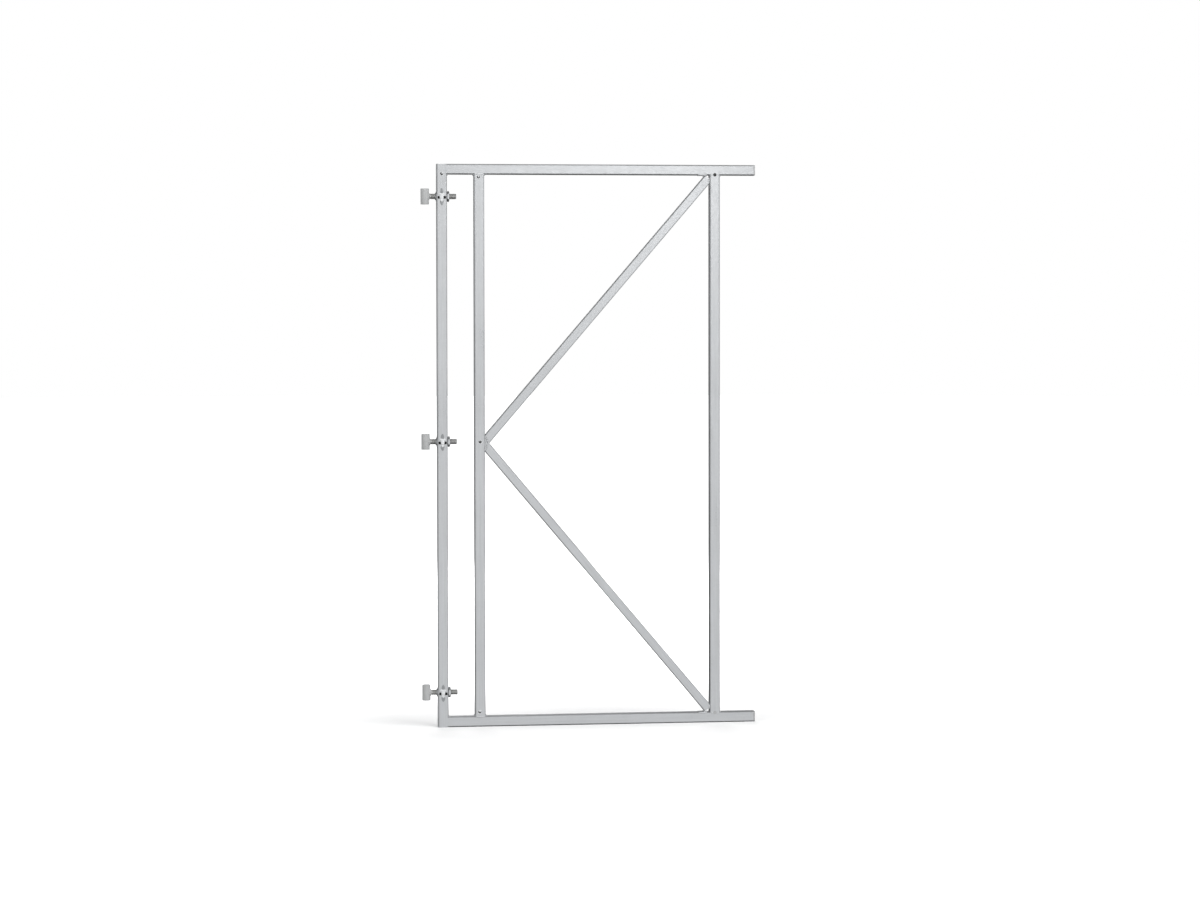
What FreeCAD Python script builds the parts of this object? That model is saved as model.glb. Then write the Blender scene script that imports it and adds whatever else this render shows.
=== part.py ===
import FreeCAD, Part
import math
import os

# A welded, hot-dip galvanised gate frame of square tube.
# Millimetres. X runs along the gate, away from the hinges. Y runs from the board
# side (front) to the back. Z is up. The origin is the centre of the lower hinge eye.

Vector = FreeCAD.Vector

# Outline of the frame
FRAME_HEIGHT = 1620.0
FRAME_WIDTH = 924.0          # outer side of the hinge post to the rails' free ends
HINGE_STANDOFF = 33.0        # hinge pin axis to the outer side of the post
LOWER_HINGE_HEIGHT = 100.0   # above the underside of the frame
MIDDLE_HINGE_HEIGHT = 823.0
UPPER_HINGE_HEIGHT = 1527.0

# Main square tube
TUBE = 30.0
WALL = 2.0
CORNER = 4.0
INNER_STILE_OFFSET = 107.0   # outer side of the post to the near side of each stile
OUTER_STILE_OFFSET = 791.0

# Brace tube and the knee where both braces meet the inner stile
BRACE = 25.0
BRACE_WALL = 2.0
BRACE_CORNER = 3.0
KNEE_HEIGHT = 818.0
KNEE_REACH = 13.0            # from the stile's side to the point where the braces meet
BRACE_SET = 4.8              # how far a brace's inner edge runs past its square end

# Closing pieces
PLATE = 3.0
CAP_FLANGE = 4.0
CAP_EDGE = 1.0
CAP_PLUG = 14.0
CAP_WALL = 2.2
CAP_GAP = 0.1

# Vent and drain holes for the zinc bath
VENT_RADIUS = 5.0
POST_VENT_HEIGHT = 1592.0
STILE_VENTS = ((1583.0, -1.5), (822.0, 1.0), (43.0, -2.0))   # height, sideways offset
SEAM_VENT_INSET = 1.5        # centre of a seam vent, inside the rail's edge line

# Adjustable hinge eye, M16
STUD_RADIUS = 8.0
THREAD_GAP = 0.05
STUD_END = 57.0              # free end, from the outer side of the post
STUD_CHAMFER = 1.5
EYE_RADIUS = 12.0
EYE_BORE_RADIUS = 8.25
EYE_HEIGHT = 45.0
EYE_CHAMFER = 0.8
EYE_WELD_LEG = 2.6
BUSH_RADIUS = 11.0
BUSH_OUTSTAND = 4.0
BUSH_INNER_OUTSTAND = 0.6
COLLAR_RADIUS = 14.6
SLOT_LENGTH = 27.0
SLOT_HEIGHT = 8.0
SLOT_DROP = 3.0              # below the stud's axis
PLUG_LENGTH = 12.0
PLUG_PROUD = 0.8
NUT_FLATS = 27.0
NUT_THICKNESS = 6.5
NUT_CHAMFER = 1.3

# Weld sizes
FILLET_LEG = 4.0
BRACE_WELD_GAP = 9.0         # open corner left between brace end, rail and stile
BRACE_WELD_DEPTH = 22.0

POST_X = HINGE_STANDOFF
BASE_Z = -LOWER_HINGE_HEIGHT
TOP_Z = BASE_Z + FRAME_HEIGHT
RAIL_START_X = POST_X + TUBE
RAIL_END_X = POST_X + FRAME_WIDTH
INNER_STILE_X = POST_X + INNER_STILE_OFFSET
OUTER_STILE_X = POST_X + OUTER_STILE_OFFSET
LOWER_RAIL_TOP_Z = BASE_Z + TUBE
UPPER_RAIL_BOTTOM_Z = TOP_Z - TUBE
KNEE_Z = BASE_Z + KNEE_HEIGHT
KNEE_X = INNER_STILE_X + TUBE
HALF_TUBE = TUBE / 2
FLAT = TUBE - 2 * CORNER     # flat width of a tube side
FRONT_Y = -HALF_TUBE
REACH = 10.0                 # how far cutting shapes overshoot

HINGE_HEIGHTS = {
    "upper": BASE_Z + UPPER_HINGE_HEIGHT,
    "middle": BASE_Z + MIDDLE_HINGE_HEIGHT,
    "lower": BASE_Z + LOWER_HINGE_HEIGHT,
}

os.makedirs("parts", exist_ok=True)


def save(shape, name):
    """Write one sub-part."""
    shape.removeSplitter().exportStep("parts/" + name + ".step")


def rounded_bar(size, corner, length):
    """Solid square bar along +Z from the origin, with rounded long edges."""
    bar = Part.makeBox(size, size, length, Vector(-size / 2, -size / 2, 0))
    long_edges = [edge for edge in bar.Edges if abs(edge.BoundBox.ZLength - length) < 1e-6]
    return bar.makeFillet(corner, long_edges)


def square_tube(size, wall, corner, length):
    """Square tube along +Z from the origin, open at both ends."""
    core = rounded_bar(size - 2 * wall, corner - wall, length + 2 * REACH)
    core.translate(Vector(0, 0, -REACH))
    return rounded_bar(size, corner, length).cut(core)


def upright(shape, x, z):
    """Stand a shape made along +Z on the point (x, 0, z)."""
    placed = shape.copy()
    placed.translate(Vector(x, 0, z))
    return placed


def lying(shape, x, z):
    """Lay a shape made along +Z along +X, starting at the point (x, 0, z)."""
    placed = shape.copy()
    placed.rotate(Vector(0, 0, 0), Vector(0, 1, 0), 90)
    placed.translate(Vector(x, 0, z))
    return placed


def rod(radius, x_start, x_end, z):
    """Round bar along X."""
    return Part.makeCylinder(radius, x_end - x_start, Vector(x_start, 0, z), Vector(1, 0, 0))


def front_hole(x, z):
    """Cutting cylinder for a vent through the front wall of a tube."""
    return Part.makeCylinder(VENT_RADIUS, WALL + 2.0, Vector(x, FRONT_Y - 1.0, z), Vector(0, 1, 0))


def prism(points, depth):
    """Straight prism over an outline in the XZ plane, centred on Y = 0."""
    corners = [Vector(x, -depth / 2, z) for x, z in points]
    face = Part.Face(Part.makePolygon(corners + corners[:1]))
    return face.extrude(Vector(0, depth, 0))


def corner_fillet(x, z, towards_x, towards_z, leg=FILLET_LEG, depth=FLAT):
    """Concave fillet weld in the corner at (x, z), open towards the given signs."""
    y = -depth / 2
    corner = Vector(x, y, z)
    foot = Vector(x + towards_x * leg, y, z)
    head = Vector(x, y, z + towards_z * leg)
    centre = Vector(x + towards_x * leg, y, z + towards_z * leg)
    reach = leg * math.sqrt(0.5)
    middle = centre - Vector(towards_x * reach, 0, towards_z * reach)
    edges = [
        Part.makeLine(corner, foot),
        Part.Arc(foot, middle, head).toShape(),
        Part.makeLine(head, corner),
    ]
    return Part.Face(Part.Wire(edges)).extrude(Vector(0, depth, 0))


def turned(profile, z):
    """Ring about an axis along X at height z, from (x, radius) corner points."""
    corners = [Vector(x, 0, z + radius) for x, radius in profile]
    face = Part.Face(Part.makePolygon(corners + corners[:1]))
    return face.revolve(Vector(0, 0, z), Vector(1, 0, 0), 360)


def weld_ring(x_root, x_tip, wide, narrow, z, steps=6):
    """Concave ring weld about an X axis, wide at its root and thin at its tip."""
    profile = [(x_root, 1.0), (x_root, wide)]
    for step in range(1, steps + 1):
        turn = math.pi / 2 * step / steps
        x = x_root + (x_tip - x_root) * (1 - math.cos(turn))
        profile.append((x, narrow + (wide - narrow) * (1 - math.sin(turn))))
    profile.append((x_tip, 1.0))
    return turned(profile, z)


def slot_cutter(stud_z):
    """Round-ended slot in the front wall of the post, just below a stud's axis."""
    z = stud_z - SLOT_DROP
    end_radius = SLOT_HEIGHT / 2
    half_run = SLOT_LENGTH / 2 - end_radius
    depth = WALL + 1.5
    start_y = FRONT_Y - 1.0
    x = POST_X + HALF_TUBE
    cutter = Part.makeBox(2 * half_run, depth, SLOT_HEIGHT, Vector(x - half_run, start_y, z - end_radius))
    for side in (-1, 1):
        centre = Vector(x + side * half_run, start_y, z)
        cutter = cutter.fuse(Part.makeCylinder(end_radius, depth, centre, Vector(0, 1, 0)))
    return cutter


def seam_vents():
    """Cutting cylinders for the vents on the outer stile's two seams."""
    x = OUTER_STILE_X + HALF_TUBE
    heights = (UPPER_RAIL_BOTTOM_Z + SEAM_VENT_INSET, LOWER_RAIL_TOP_Z - SEAM_VENT_INSET)
    return [front_hole(x, z) for z in heights]


def cut_all(shape, cutters):
    """Cut a shape with each cutter in turn."""
    for cutter in cutters:
        shape = shape.cut(cutter)
    return shape


# Outlines of the main members, used to trim the welds that lie against them
post_outline = upright(rounded_bar(TUBE, CORNER, FRAME_HEIGHT), POST_X + HALF_TUBE, BASE_Z)
rail_bar = rounded_bar(TUBE, CORNER, FRAME_WIDTH - TUBE)
rail_outlines = {
    "top": lying(rail_bar, RAIL_START_X, TOP_Z - HALF_TUBE),
    "bottom": lying(rail_bar, RAIL_START_X, BASE_Z + HALF_TUBE),
}


def make_hinge_post():
    """Hinge post with bush holes, front slots and its vent hole."""
    length = FRAME_HEIGHT - 2 * PLATE
    post = upright(square_tube(TUBE, WALL, CORNER, length), POST_X + HALF_TUBE, BASE_Z + PLATE)
    cutters = [front_hole(POST_X + HALF_TUBE, BASE_Z + POST_VENT_HEIGHT)]
    for z in HINGE_HEIGHTS.values():
        cutters.append(rod(BUSH_RADIUS, POST_X - REACH, RAIL_START_X + REACH, z))
        cutters.append(slot_cutter(z))
    save(cut_all(post, cutters), "hinge_post")


def make_post_plates():
    """Plates that close the post, the lower one with a drain hole."""
    plate = rounded_bar(TUBE, CORNER, PLATE)
    x = POST_X + HALF_TUBE
    drain = Part.makeCylinder(VENT_RADIUS, PLATE + 2 * REACH, Vector(x, 0, BASE_Z - REACH))
    save(upright(plate, x, TOP_Z - PLATE), "post_top_plate")
    save(upright(plate, x, BASE_Z).cut(drain), "post_bottom_plate")


def make_rails():
    """Top and bottom rails, butted on the post and open at the cap end."""
    length = FRAME_WIDTH - TUBE - CAP_FLANGE
    tube = square_tube(TUBE, WALL, CORNER, length)
    for name, z in (("top_rail", TOP_Z - HALF_TUBE), ("bottom_rail", BASE_Z + HALF_TUBE)):
        save(cut_all(lying(tube, RAIL_START_X, z), seam_vents()), name)


def make_rail_caps():
    """Push-in caps in the rails' free ends."""
    bore = TUBE - 2 * WALL - 2 * CAP_GAP
    flange = rounded_bar(TUBE, CORNER, CAP_FLANGE)
    outer_rim = [edge for edge in flange.Edges if edge.BoundBox.ZMin > CAP_FLANGE - 1e-6]
    flange = flange.makeFillet(CAP_EDGE, outer_rim)
    plug = rounded_bar(bore, CORNER - WALL, CAP_PLUG)
    hollow = rounded_bar(bore - 2 * CAP_WALL, 1.0, CAP_PLUG)
    plug = plug.cut(hollow)
    plug.translate(Vector(0, 0, -CAP_PLUG))
    cap = flange.fuse(plug)
    save(lying(cap, RAIL_END_X - CAP_FLANGE, TOP_Z - HALF_TUBE), "top_rail_cap")
    save(lying(cap, RAIL_END_X - CAP_FLANGE, BASE_Z + HALF_TUBE), "bottom_rail_cap")


def make_stiles():
    """The two uprights between the rails."""
    length = UPPER_RAIL_BOTTOM_Z - LOWER_RAIL_TOP_Z
    tube = square_tube(TUBE, WALL, CORNER, length)
    inner = upright(tube, INNER_STILE_X + HALF_TUBE, LOWER_RAIL_TOP_Z)
    vents = [front_hole(INNER_STILE_X + HALF_TUBE + aside, BASE_Z + height) for height, aside in STILE_VENTS]
    save(cut_all(inner, vents), "inner_stile")
    outer = upright(tube, OUTER_STILE_X + HALF_TUBE, LOWER_RAIL_TOP_Z)
    save(cut_all(outer, seam_vents()), "outer_stile")


def brace_corners(rail_z):
    """Signed slope angle and outline of the brace between the knee and a rail face.

    The far end is square-cut. Its inner corner is trimmed to sit flat on the outer
    stile, and its outer corner stops short of the rail. The near end runs from the
    inner stile's side to the point shared by both braces.
    """
    up = 1 if rail_z > KNEE_Z else -1
    rise = abs(rail_z - KNEE_Z)
    run = OUTER_STILE_X - KNEE_X - KNEE_REACH
    angle = math.atan2(rise, run)
    for _ in range(20):
        drop = BRACE * math.cos(angle) + BRACE_SET / math.cos(angle)
        angle = math.atan2(rise - drop, run)
    heel = (KNEE_X, KNEE_Z + up * (BRACE / math.cos(angle) - KNEE_REACH * math.tan(angle)))
    tip = (KNEE_X + KNEE_REACH, KNEE_Z)
    stile_foot = (OUTER_STILE_X, rail_z - up * drop)
    stile_head = (OUTER_STILE_X, rail_z - up * BRACE * math.cos(angle))
    free_edge = BRACE - BRACE_SET
    end_x = OUTER_STILE_X - free_edge * math.sin(angle)
    end_z = stile_head[1] + up * free_edge * math.cos(angle)
    return up * angle, (heel, tip, stile_foot, stile_head, (end_x, end_z))


def make_brace(name, rail_z):
    """One diagonal brace and the weld at its far end."""
    angle, outline = brace_corners(rail_z)
    heel, tip, stile_foot, stile_head, end_corner = outline
    start_x = (heel[0] + tip[0]) / 2
    start_z = (heel[1] + tip[1]) / 2
    length = math.hypot(stile_foot[0] - start_x, stile_foot[1] - start_z) + 6 * REACH
    tube = square_tube(BRACE, BRACE_WALL, BRACE_CORNER, length)
    tube.rotate(Vector(0, 0, 0), Vector(0, 1, 0), 90 - math.degrees(angle))
    lead = 3 * REACH
    tube.translate(Vector(start_x - lead * math.cos(angle), 0, start_z - lead * math.sin(angle)))
    save(tube.common(prism(outline, 2 * BRACE)), name)

    corner = (OUTER_STILE_X, rail_z)
    toe = (end_corner[0], rail_z)
    infill = prism((toe, end_corner, stile_head, corner), BRACE_WELD_DEPTH)
    gap = Part.makeCylinder(
        BRACE_WELD_GAP, 2 * TUBE, Vector(corner[0], -TUBE, corner[1]), Vector(0, 1, 0)
    )
    save(infill.cut(gap), name + "_weld")


def make_knee_weld():
    """Weld that fills the wedge between both braces and the inner stile."""
    upper_heel, tip = brace_corners(UPPER_RAIL_BOTTOM_Z)[1][:2]
    lower_heel = brace_corners(LOWER_RAIL_TOP_Z)[1][0]
    save(prism((upper_heel, tip, lower_heel), BRACE_WELD_DEPTH), "knee_weld")


def seam_fillers(bar, trims):
    """Weld metal that makes a seam flush: the overlap of a member's outline, trimmed."""
    return cut_all(bar, trims + seam_vents()).Solids


def make_post_welds():
    """Seams and inside fillets between the post and both rails."""
    overlap = rounded_bar(TUBE, CORNER, CORNER)
    solids = []
    for z in (TOP_Z - HALF_TUBE, BASE_Z + HALF_TUBE):
        solids += seam_fillers(lying(overlap, RAIL_START_X - CORNER, z), [post_outline])
    solids.append(corner_fillet(RAIL_START_X, UPPER_RAIL_BOTTOM_Z, 1, -1))
    solids.append(corner_fillet(RAIL_START_X, LOWER_RAIL_TOP_Z, 1, 1))
    save(Part.makeCompound(solids), "post_welds")


def make_stile_welds(name, x, fillet_sides):
    """Seams and inside fillets between one stile and both rails."""
    overlap = rounded_bar(TUBE, CORNER, CORNER)
    trims = list(rail_outlines.values())
    solids = seam_fillers(upright(overlap, x + HALF_TUBE, UPPER_RAIL_BOTTOM_Z), trims)
    solids += seam_fillers(upright(overlap, x + HALF_TUBE, LOWER_RAIL_TOP_Z - CORNER), trims)
    for side in fillet_sides:
        side_x = x + HALF_TUBE + side * HALF_TUBE
        solids.append(corner_fillet(side_x, UPPER_RAIL_BOTTOM_Z, side, -1))
        solids.append(corner_fillet(side_x, LOWER_RAIL_TOP_Z, side, 1))
    save(Part.makeCompound(solids), name)


def make_hinge(name, z):
    """Bush, its welds, eye, stud and lock nut of one adjustable hinge."""
    bush_start = POST_X - BUSH_OUTSTAND
    bush_end = RAIL_START_X + BUSH_INNER_OUTSTAND
    thread = rod(STUD_RADIUS + THREAD_GAP, -REACH, RAIL_END_X, z)
    bush_bar = rod(BUSH_RADIUS, bush_start, bush_end, z)
    save(bush_bar.cut(thread), name + "_hinge_bush")

    collar = weld_ring(POST_X, bush_start, COLLAR_RADIUS, BUSH_RADIUS + 0.2, z)
    collar = collar.fuse(rod(COLLAR_RADIUS, POST_X, POST_X + CORNER, z))
    collar = collar.cut(bush_bar).cut(post_outline)
    plug = Part.makeBox(
        PLUG_LENGTH, HALF_TUBE + PLUG_PROUD, SLOT_HEIGHT,
        Vector(POST_X + HALF_TUBE - PLUG_LENGTH / 2, FRONT_Y - PLUG_PROUD, z - SLOT_DROP - SLOT_HEIGHT / 2),
    )
    save(Part.makeCompound(collar.Solids + plug.cut(bush_bar).Solids), name + "_bush_welds")

    eye_bar = Part.makeCylinder(EYE_RADIUS, EYE_HEIGHT, Vector(0, 0, z - EYE_HEIGHT / 2))
    bore = Part.makeCylinder(EYE_BORE_RADIUS, 2 * EYE_HEIGHT, Vector(0, 0, z - EYE_HEIGHT))
    rims = [edge for edge in eye_bar.Edges if isinstance(edge.Curve, Part.Circle)]
    save(eye_bar.makeChamfer(EYE_CHAMFER, rims).cut(bore), name + "_hinge_eye")

    stud = rod(STUD_RADIUS, 0, POST_X + STUD_END, z)
    end_rim = [edge for edge in stud.Edges if edge.BoundBox.XMin > POST_X + STUD_END - 1e-6]
    stud = stud.makeChamfer(STUD_CHAMFER, end_rim)
    save(stud.cut(eye_bar), name + "_hinge_stud")

    root_x = math.sqrt(EYE_RADIUS ** 2 - STUD_RADIUS ** 2)
    ring = weld_ring(root_x, EYE_RADIUS + EYE_WELD_LEG, STUD_RADIUS + EYE_WELD_LEG, STUD_RADIUS + 0.1, z)
    save(ring.cut(eye_bar).cut(stud), name + "_eye_weld")

    corner_radius = NUT_FLATS / 2 / math.cos(math.radians(30))
    corners = []
    for step in range(6):
        turn = math.radians(60 * step)
        corners.append(Vector(bush_end, corner_radius * math.sin(turn), z + corner_radius * math.cos(turn)))
    hexagon = Part.Face(Part.makePolygon(corners + corners[:1])).extrude(Vector(NUT_THICKNESS, 0, 0))
    blank = rod(corner_radius, bush_end, bush_end + NUT_THICKNESS, z)
    rims = [edge for edge in blank.Edges if isinstance(edge.Curve, Part.Circle)]
    save(hexagon.common(blank.makeChamfer(NUT_CHAMFER, rims)).cut(thread), name + "_lock_nut")


make_hinge_post()
make_post_plates()
make_rails()
make_rail_caps()
make_stiles()
make_brace("upper_brace", UPPER_RAIL_BOTTOM_Z)
make_brace("lower_brace", LOWER_RAIL_TOP_Z)
make_knee_weld()
make_post_welds()
make_stile_welds("inner_stile_welds", INNER_STILE_X, (-1, 1))
make_stile_welds("outer_stile_welds", OUTER_STILE_X, (1,))
for hinge_name, hinge_z in HINGE_HEIGHTS.items():
    make_hinge(hinge_name, hinge_z)
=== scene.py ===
"""A galvanised gate frame with adjustable hinge eyes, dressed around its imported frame."""

import logging
import math
import random
from dataclasses import dataclass
from enum import Enum
from typing import Iterable, Sequence

import bmesh
import bpy
from bmesh.types import BMEdge, BMesh, BMFace, BMVert
from bpy.types import Material, Node, NodeSocket, Object, World
from mathutils import Matrix, Vector


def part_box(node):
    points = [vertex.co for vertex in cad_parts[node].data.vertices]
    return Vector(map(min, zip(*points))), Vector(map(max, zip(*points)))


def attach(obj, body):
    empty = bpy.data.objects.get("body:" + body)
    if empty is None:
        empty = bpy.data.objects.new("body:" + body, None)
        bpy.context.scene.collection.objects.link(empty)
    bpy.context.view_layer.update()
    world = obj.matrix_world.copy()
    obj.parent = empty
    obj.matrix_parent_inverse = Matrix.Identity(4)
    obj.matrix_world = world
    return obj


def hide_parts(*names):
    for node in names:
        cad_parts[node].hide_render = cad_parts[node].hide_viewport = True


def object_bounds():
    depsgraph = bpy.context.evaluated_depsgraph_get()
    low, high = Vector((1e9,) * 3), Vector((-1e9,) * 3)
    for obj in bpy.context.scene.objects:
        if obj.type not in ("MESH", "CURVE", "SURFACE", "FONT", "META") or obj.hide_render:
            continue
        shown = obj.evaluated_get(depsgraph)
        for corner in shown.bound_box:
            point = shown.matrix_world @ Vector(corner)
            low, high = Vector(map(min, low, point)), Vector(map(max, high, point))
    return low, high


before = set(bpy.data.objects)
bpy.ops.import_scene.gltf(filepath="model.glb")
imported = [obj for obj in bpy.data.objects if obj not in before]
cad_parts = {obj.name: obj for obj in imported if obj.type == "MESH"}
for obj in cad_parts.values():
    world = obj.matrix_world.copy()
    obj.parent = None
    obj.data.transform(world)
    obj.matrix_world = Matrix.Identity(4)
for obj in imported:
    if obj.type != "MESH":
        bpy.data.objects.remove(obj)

CAD_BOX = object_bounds()
LOG = logging.getLogger("gate_frame")
MM = 0.001
SAME = 0.0001 * MM
FULL_TURN = 2.0 * math.pi
HINGES = ("upper", "middle", "lower")
ROOT = "gate_frame"
Colour = tuple[float, float, float]


class Slot(Enum):
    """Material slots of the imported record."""

    WELD = "galvanised_weld"
    BUSH = "galvanised_bush"
    EYE = "galvanised_eye"
    THREAD = "galvanised_thread"
    NUT = "galvanised_nut"
    CAP = "grey_plastic_cap"


class Side(Enum):
    """The two broad sides of the gate, by the sign of Y."""

    FRONT = -1.0
    BACK = 1.0


# Finishes


class Nodes:
    """Short calls for building the node tree of a material or of the world."""

    def __init__(self, owner: Material | World) -> None:
        """Empty the tree and keep it at hand.

        Args:
            owner: The material or world whose nodes are built.
        """
        owner.use_nodes = True
        self.tree = owner.node_tree
        self.tree.nodes.clear()

    def add(self, kind: str, settings: dict | None = None, **inputs: object) -> Node:
        """Add a node.

        Args:
            kind: Blender's name for the node's type.
            settings: Values for the node's own properties.
            **inputs: Values or output sockets, by input name with underscores for spaces.

        Returns:
            The new node.
        """
        node = self.tree.nodes.new(kind)
        for key, value in (settings or {}).items():
            setattr(node, key, value)
        for key, value in inputs.items():
            self.feed(node.inputs[key.replace("_", " ")], value)
        return node

    def feed(self, socket: NodeSocket, value: object) -> None:
        """Set or link one input.

        Args:
            socket: The input.
            value: A plain value for it, or an output socket to link.
        """
        if isinstance(value, NodeSocket):
            self.tree.links.new(value, socket)
        else:
            socket.default_value = value

    def math(self, operation: str, *values: object) -> NodeSocket:
        """Add a Math node.

        Args:
            operation: The sum to work out.
            *values: Numbers or output sockets, in the node's order.

        Returns:
            The node's result.
        """
        node = self.add("ShaderNodeMath", {"operation": operation})
        for socket, value in zip(node.inputs, values):
            self.feed(socket, value)
        return node.outputs[0]

    def blend(self, share: object, low: Colour, high: Colour) -> NodeSocket:
        """Mix two colours.

        Args:
            share: How much of the second colour shows, a number or an output socket.
            low: The colour at 0.
            high: The colour at 1.

        Returns:
            The mixed colour.
        """
        node = self.add("ShaderNodeMix", {"data_type": "RGBA"})
        self.feed(node.inputs[0], share)
        node.inputs[6].default_value = (*low, 1.0)
        node.inputs[7].default_value = (*high, 1.0)
        return node.outputs[2]

    def noise(self, place: NodeSocket, scale: float, detail: float = 2.0) -> NodeSocket:
        """Add a noise pattern.

        Args:
            place: Where the pattern is read.
            scale: Lumps per metre.
            detail: Octaves of finer lumps.

        Returns:
            The pattern's grey value.
        """
        return self.add("ShaderNodeTexNoise", Vector=place, Scale=scale, Detail=detail).outputs["Fac"]

    def sum_of(self, parts: Iterable[tuple[NodeSocket, float]], start: float) -> NodeSocket:
        """Add patterns, each about its middle value of one half.

        Args:
            parts: Pairs of a pattern and its strength.
            start: The value where every pattern is at its middle.

        Returns:
            The total.
        """
        total: object = start
        for pattern, strength in parts:
            change = self.math("MULTIPLY", self.math("SUBTRACT", pattern, 0.5), strength)
            total = self.math("ADD", total, change)
        return total

    def finish(self, shader: Node, kind: str = "ShaderNodeOutputMaterial") -> None:
        """Join a shader to the output's surface.

        Args:
            shader: The last shader node.
            kind: Which output node takes it.
        """
        output = self.add(kind)
        self.tree.links.new(shader.outputs[0], output.inputs["Surface"])


def shade(tone: Colour, factor: float) -> Colour:
    """Make a colour lighter or darker, but never full white.

    Args:
        tone: The colour.
        factor: Above 1 to lighten it.

    Returns:
        The changed colour.
    """
    return tuple(min(0.95, channel * factor) for channel in tone)


@dataclass(frozen=True)
class Galvanised:
    """Hot-dip zinc: crystals, run-off streaks along the part, and a fine skin.

    The grain turn is the angle about Y between Z and the part's length. A streak is longer than
    wide by the stretch.
    """

    name: str
    tone: Colour = (0.60, 0.61, 0.62)
    metallic: float = 0.85
    roughness: float = 0.36
    grain_turn: float = 0.0
    stretch: float = 22.0
    streaks: float = 0.45
    patches: float = 0.6
    crystals: float = 0.15
    skin: float = 0.15
    contrast: float = 0.18
    relief: float = 0.05 * MM

    def build(self) -> Material:
        """Make the material.

        Returns:
            A material whose pattern is fixed to the object.
        """
        material = bpy.data.materials.new(self.name)
        nodes = Nodes(material)
        place = nodes.add("ShaderNodeTexCoord").outputs["Object"]
        stretched = nodes.add(
            "ShaderNodeMapping", {"vector_type": "TEXTURE"}, Vector=place,
            Rotation=(0.0, math.radians(self.grain_turn), 0.0), Scale=(1.0, 1.0, self.stretch),
        ).outputs[0]
        streak = nodes.noise(stretched, 160.0, 3.0)
        patch = nodes.noise(place, 9.0, 3.0)
        fine = nodes.noise(place, 1400.0, 2.0)
        cells = nodes.add("ShaderNodeTexVoronoi", Vector=place, Scale=150.0, Randomness=1.0)
        crystal = nodes.add("ShaderNodeRGBToBW", Color=cells.outputs["Color"]).outputs[0]
        level = nodes.sum_of(
            (
                (streak, self.streaks * 2), (patch, self.patches * 2),
                (crystal, self.crystals), (fine, self.skin),
            ),
            0.5,
        )
        dark, light = shade(self.tone, 1.0 - self.contrast), shade(self.tone, 1.0 + self.contrast)
        colour = nodes.blend(level, dark, light)
        rough = nodes.sum_of(((patch, 0.25), (streak, 0.15), (crystal, 0.08)), self.roughness)
        height = nodes.sum_of(((streak, 0.6), (crystal, 0.35), (fine, 0.5), (patch, 1.0)), 0.5)
        bump = nodes.add("ShaderNodeBump", Height=height, Strength=0.6, Distance=self.relief)
        shader = nodes.add(
            "ShaderNodeBsdfPrincipled", Base_Color=colour, Metallic=self.metallic, Roughness=rough,
            Normal=bump.outputs[0],
        )
        nodes.finish(shader)
        return material


@dataclass(frozen=True)
class Moulded:
    """Moulded plastic with a fine spark-eroded grain."""

    name: str
    tone: Colour = (0.42, 0.42, 0.42)
    roughness: float = 0.5

    def build(self) -> Material:
        """Make the material.

        Returns:
            A material whose grain is fixed to the object.
        """
        material = bpy.data.materials.new(self.name)
        nodes = Nodes(material)
        place = nodes.add("ShaderNodeTexCoord").outputs["Object"]
        grain = nodes.noise(place, 2600.0, 2.0)
        cloud = nodes.noise(place, 60.0, 2.0)
        level = nodes.sum_of(((cloud, 0.8), (grain, 0.4)), 0.5)
        colour = nodes.blend(level, shade(self.tone, 0.92), shade(self.tone, 1.08))
        rough = nodes.sum_of(((grain, 0.15), (cloud, 0.1)), self.roughness)
        bump = nodes.add("ShaderNodeBump", Height=grain, Strength=0.4, Distance=0.05 * MM)
        shader = nodes.add(
            "ShaderNodeBsdfPrincipled", Base_Color=colour, Roughness=rough, Normal=bump.outputs[0]
        )
        nodes.finish(shader)
        return material


@dataclass(frozen=True)
class Palette:
    """Every finish on the gate frame, made once."""

    upright: Material
    lying: Material
    upper_brace: Material
    lower_brace: Material
    weld: Material
    bead: Material
    bush: Material
    eye: Material
    thread: Material
    nut: Material
    run: Material
    cap: Material

    @classmethod
    def make(cls) -> "Palette":
        """Build the materials.

        Returns:
            The whole set.
        """
        slope = brace_slope()
        return cls(
            upright=Galvanised("zinc_upright").build(),
            lying=Galvanised("zinc_lying", grain_turn=90.0).build(),
            upper_brace=Galvanised("zinc_upper_brace", grain_turn=90.0 - slope).build(),
            lower_brace=Galvanised("zinc_lower_brace", grain_turn=90.0 + slope).build(),
            weld=Galvanised(
                "zinc_weld", tone=(0.82, 0.83, 0.84), metallic=0.3, roughness=0.55, streaks=0.2,
                crystals=0.1, skin=0.8, contrast=0.10, relief=0.2 * MM,
            ).build(),
            bead=Galvanised(
                "zinc_bead", tone=(0.70, 0.71, 0.72), metallic=0.6, roughness=0.5, streaks=0.2,
                crystals=0.1, relief=0.15 * MM,
            ).build(),
            # Near-black painted shade: the bush sleeve seen through the slot, and the discs in the vent
            # holes.
            bush=Galvanised(
                "bush_scale", tone=(0.05, 0.05, 0.05), metallic=0.1, roughness=0.8, streaks=0.1,
                crystals=0.1,
            ).build(),
            eye=Galvanised(
                "zinc_eye", tone=(0.47, 0.475, 0.475), metallic=0.12, roughness=0.7, streaks=0.15,
                patches=0.5, crystals=0.1, skin=1.0, relief=0.15 * MM,
            ).build(),
            thread=Galvanised(
                "zinc_thread", tone=(0.60, 0.60, 0.59), metallic=0.75, roughness=0.4, grain_turn=90.0,
                streaks=0.2, crystals=0.1,
            ).build(),
            nut=Galvanised("zinc_nut", tone=(0.60, 0.61, 0.62), roughness=0.34, crystals=0.1).build(),
            run=Galvanised(
                "zinc_run", tone=(0.40, 0.41, 0.42), roughness=0.5, streaks=0.3, crystals=0.1, skin=0.6
            ).build(),
            cap=Moulded("grey_cap").build(),
        )


# Mesh helpers


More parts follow.
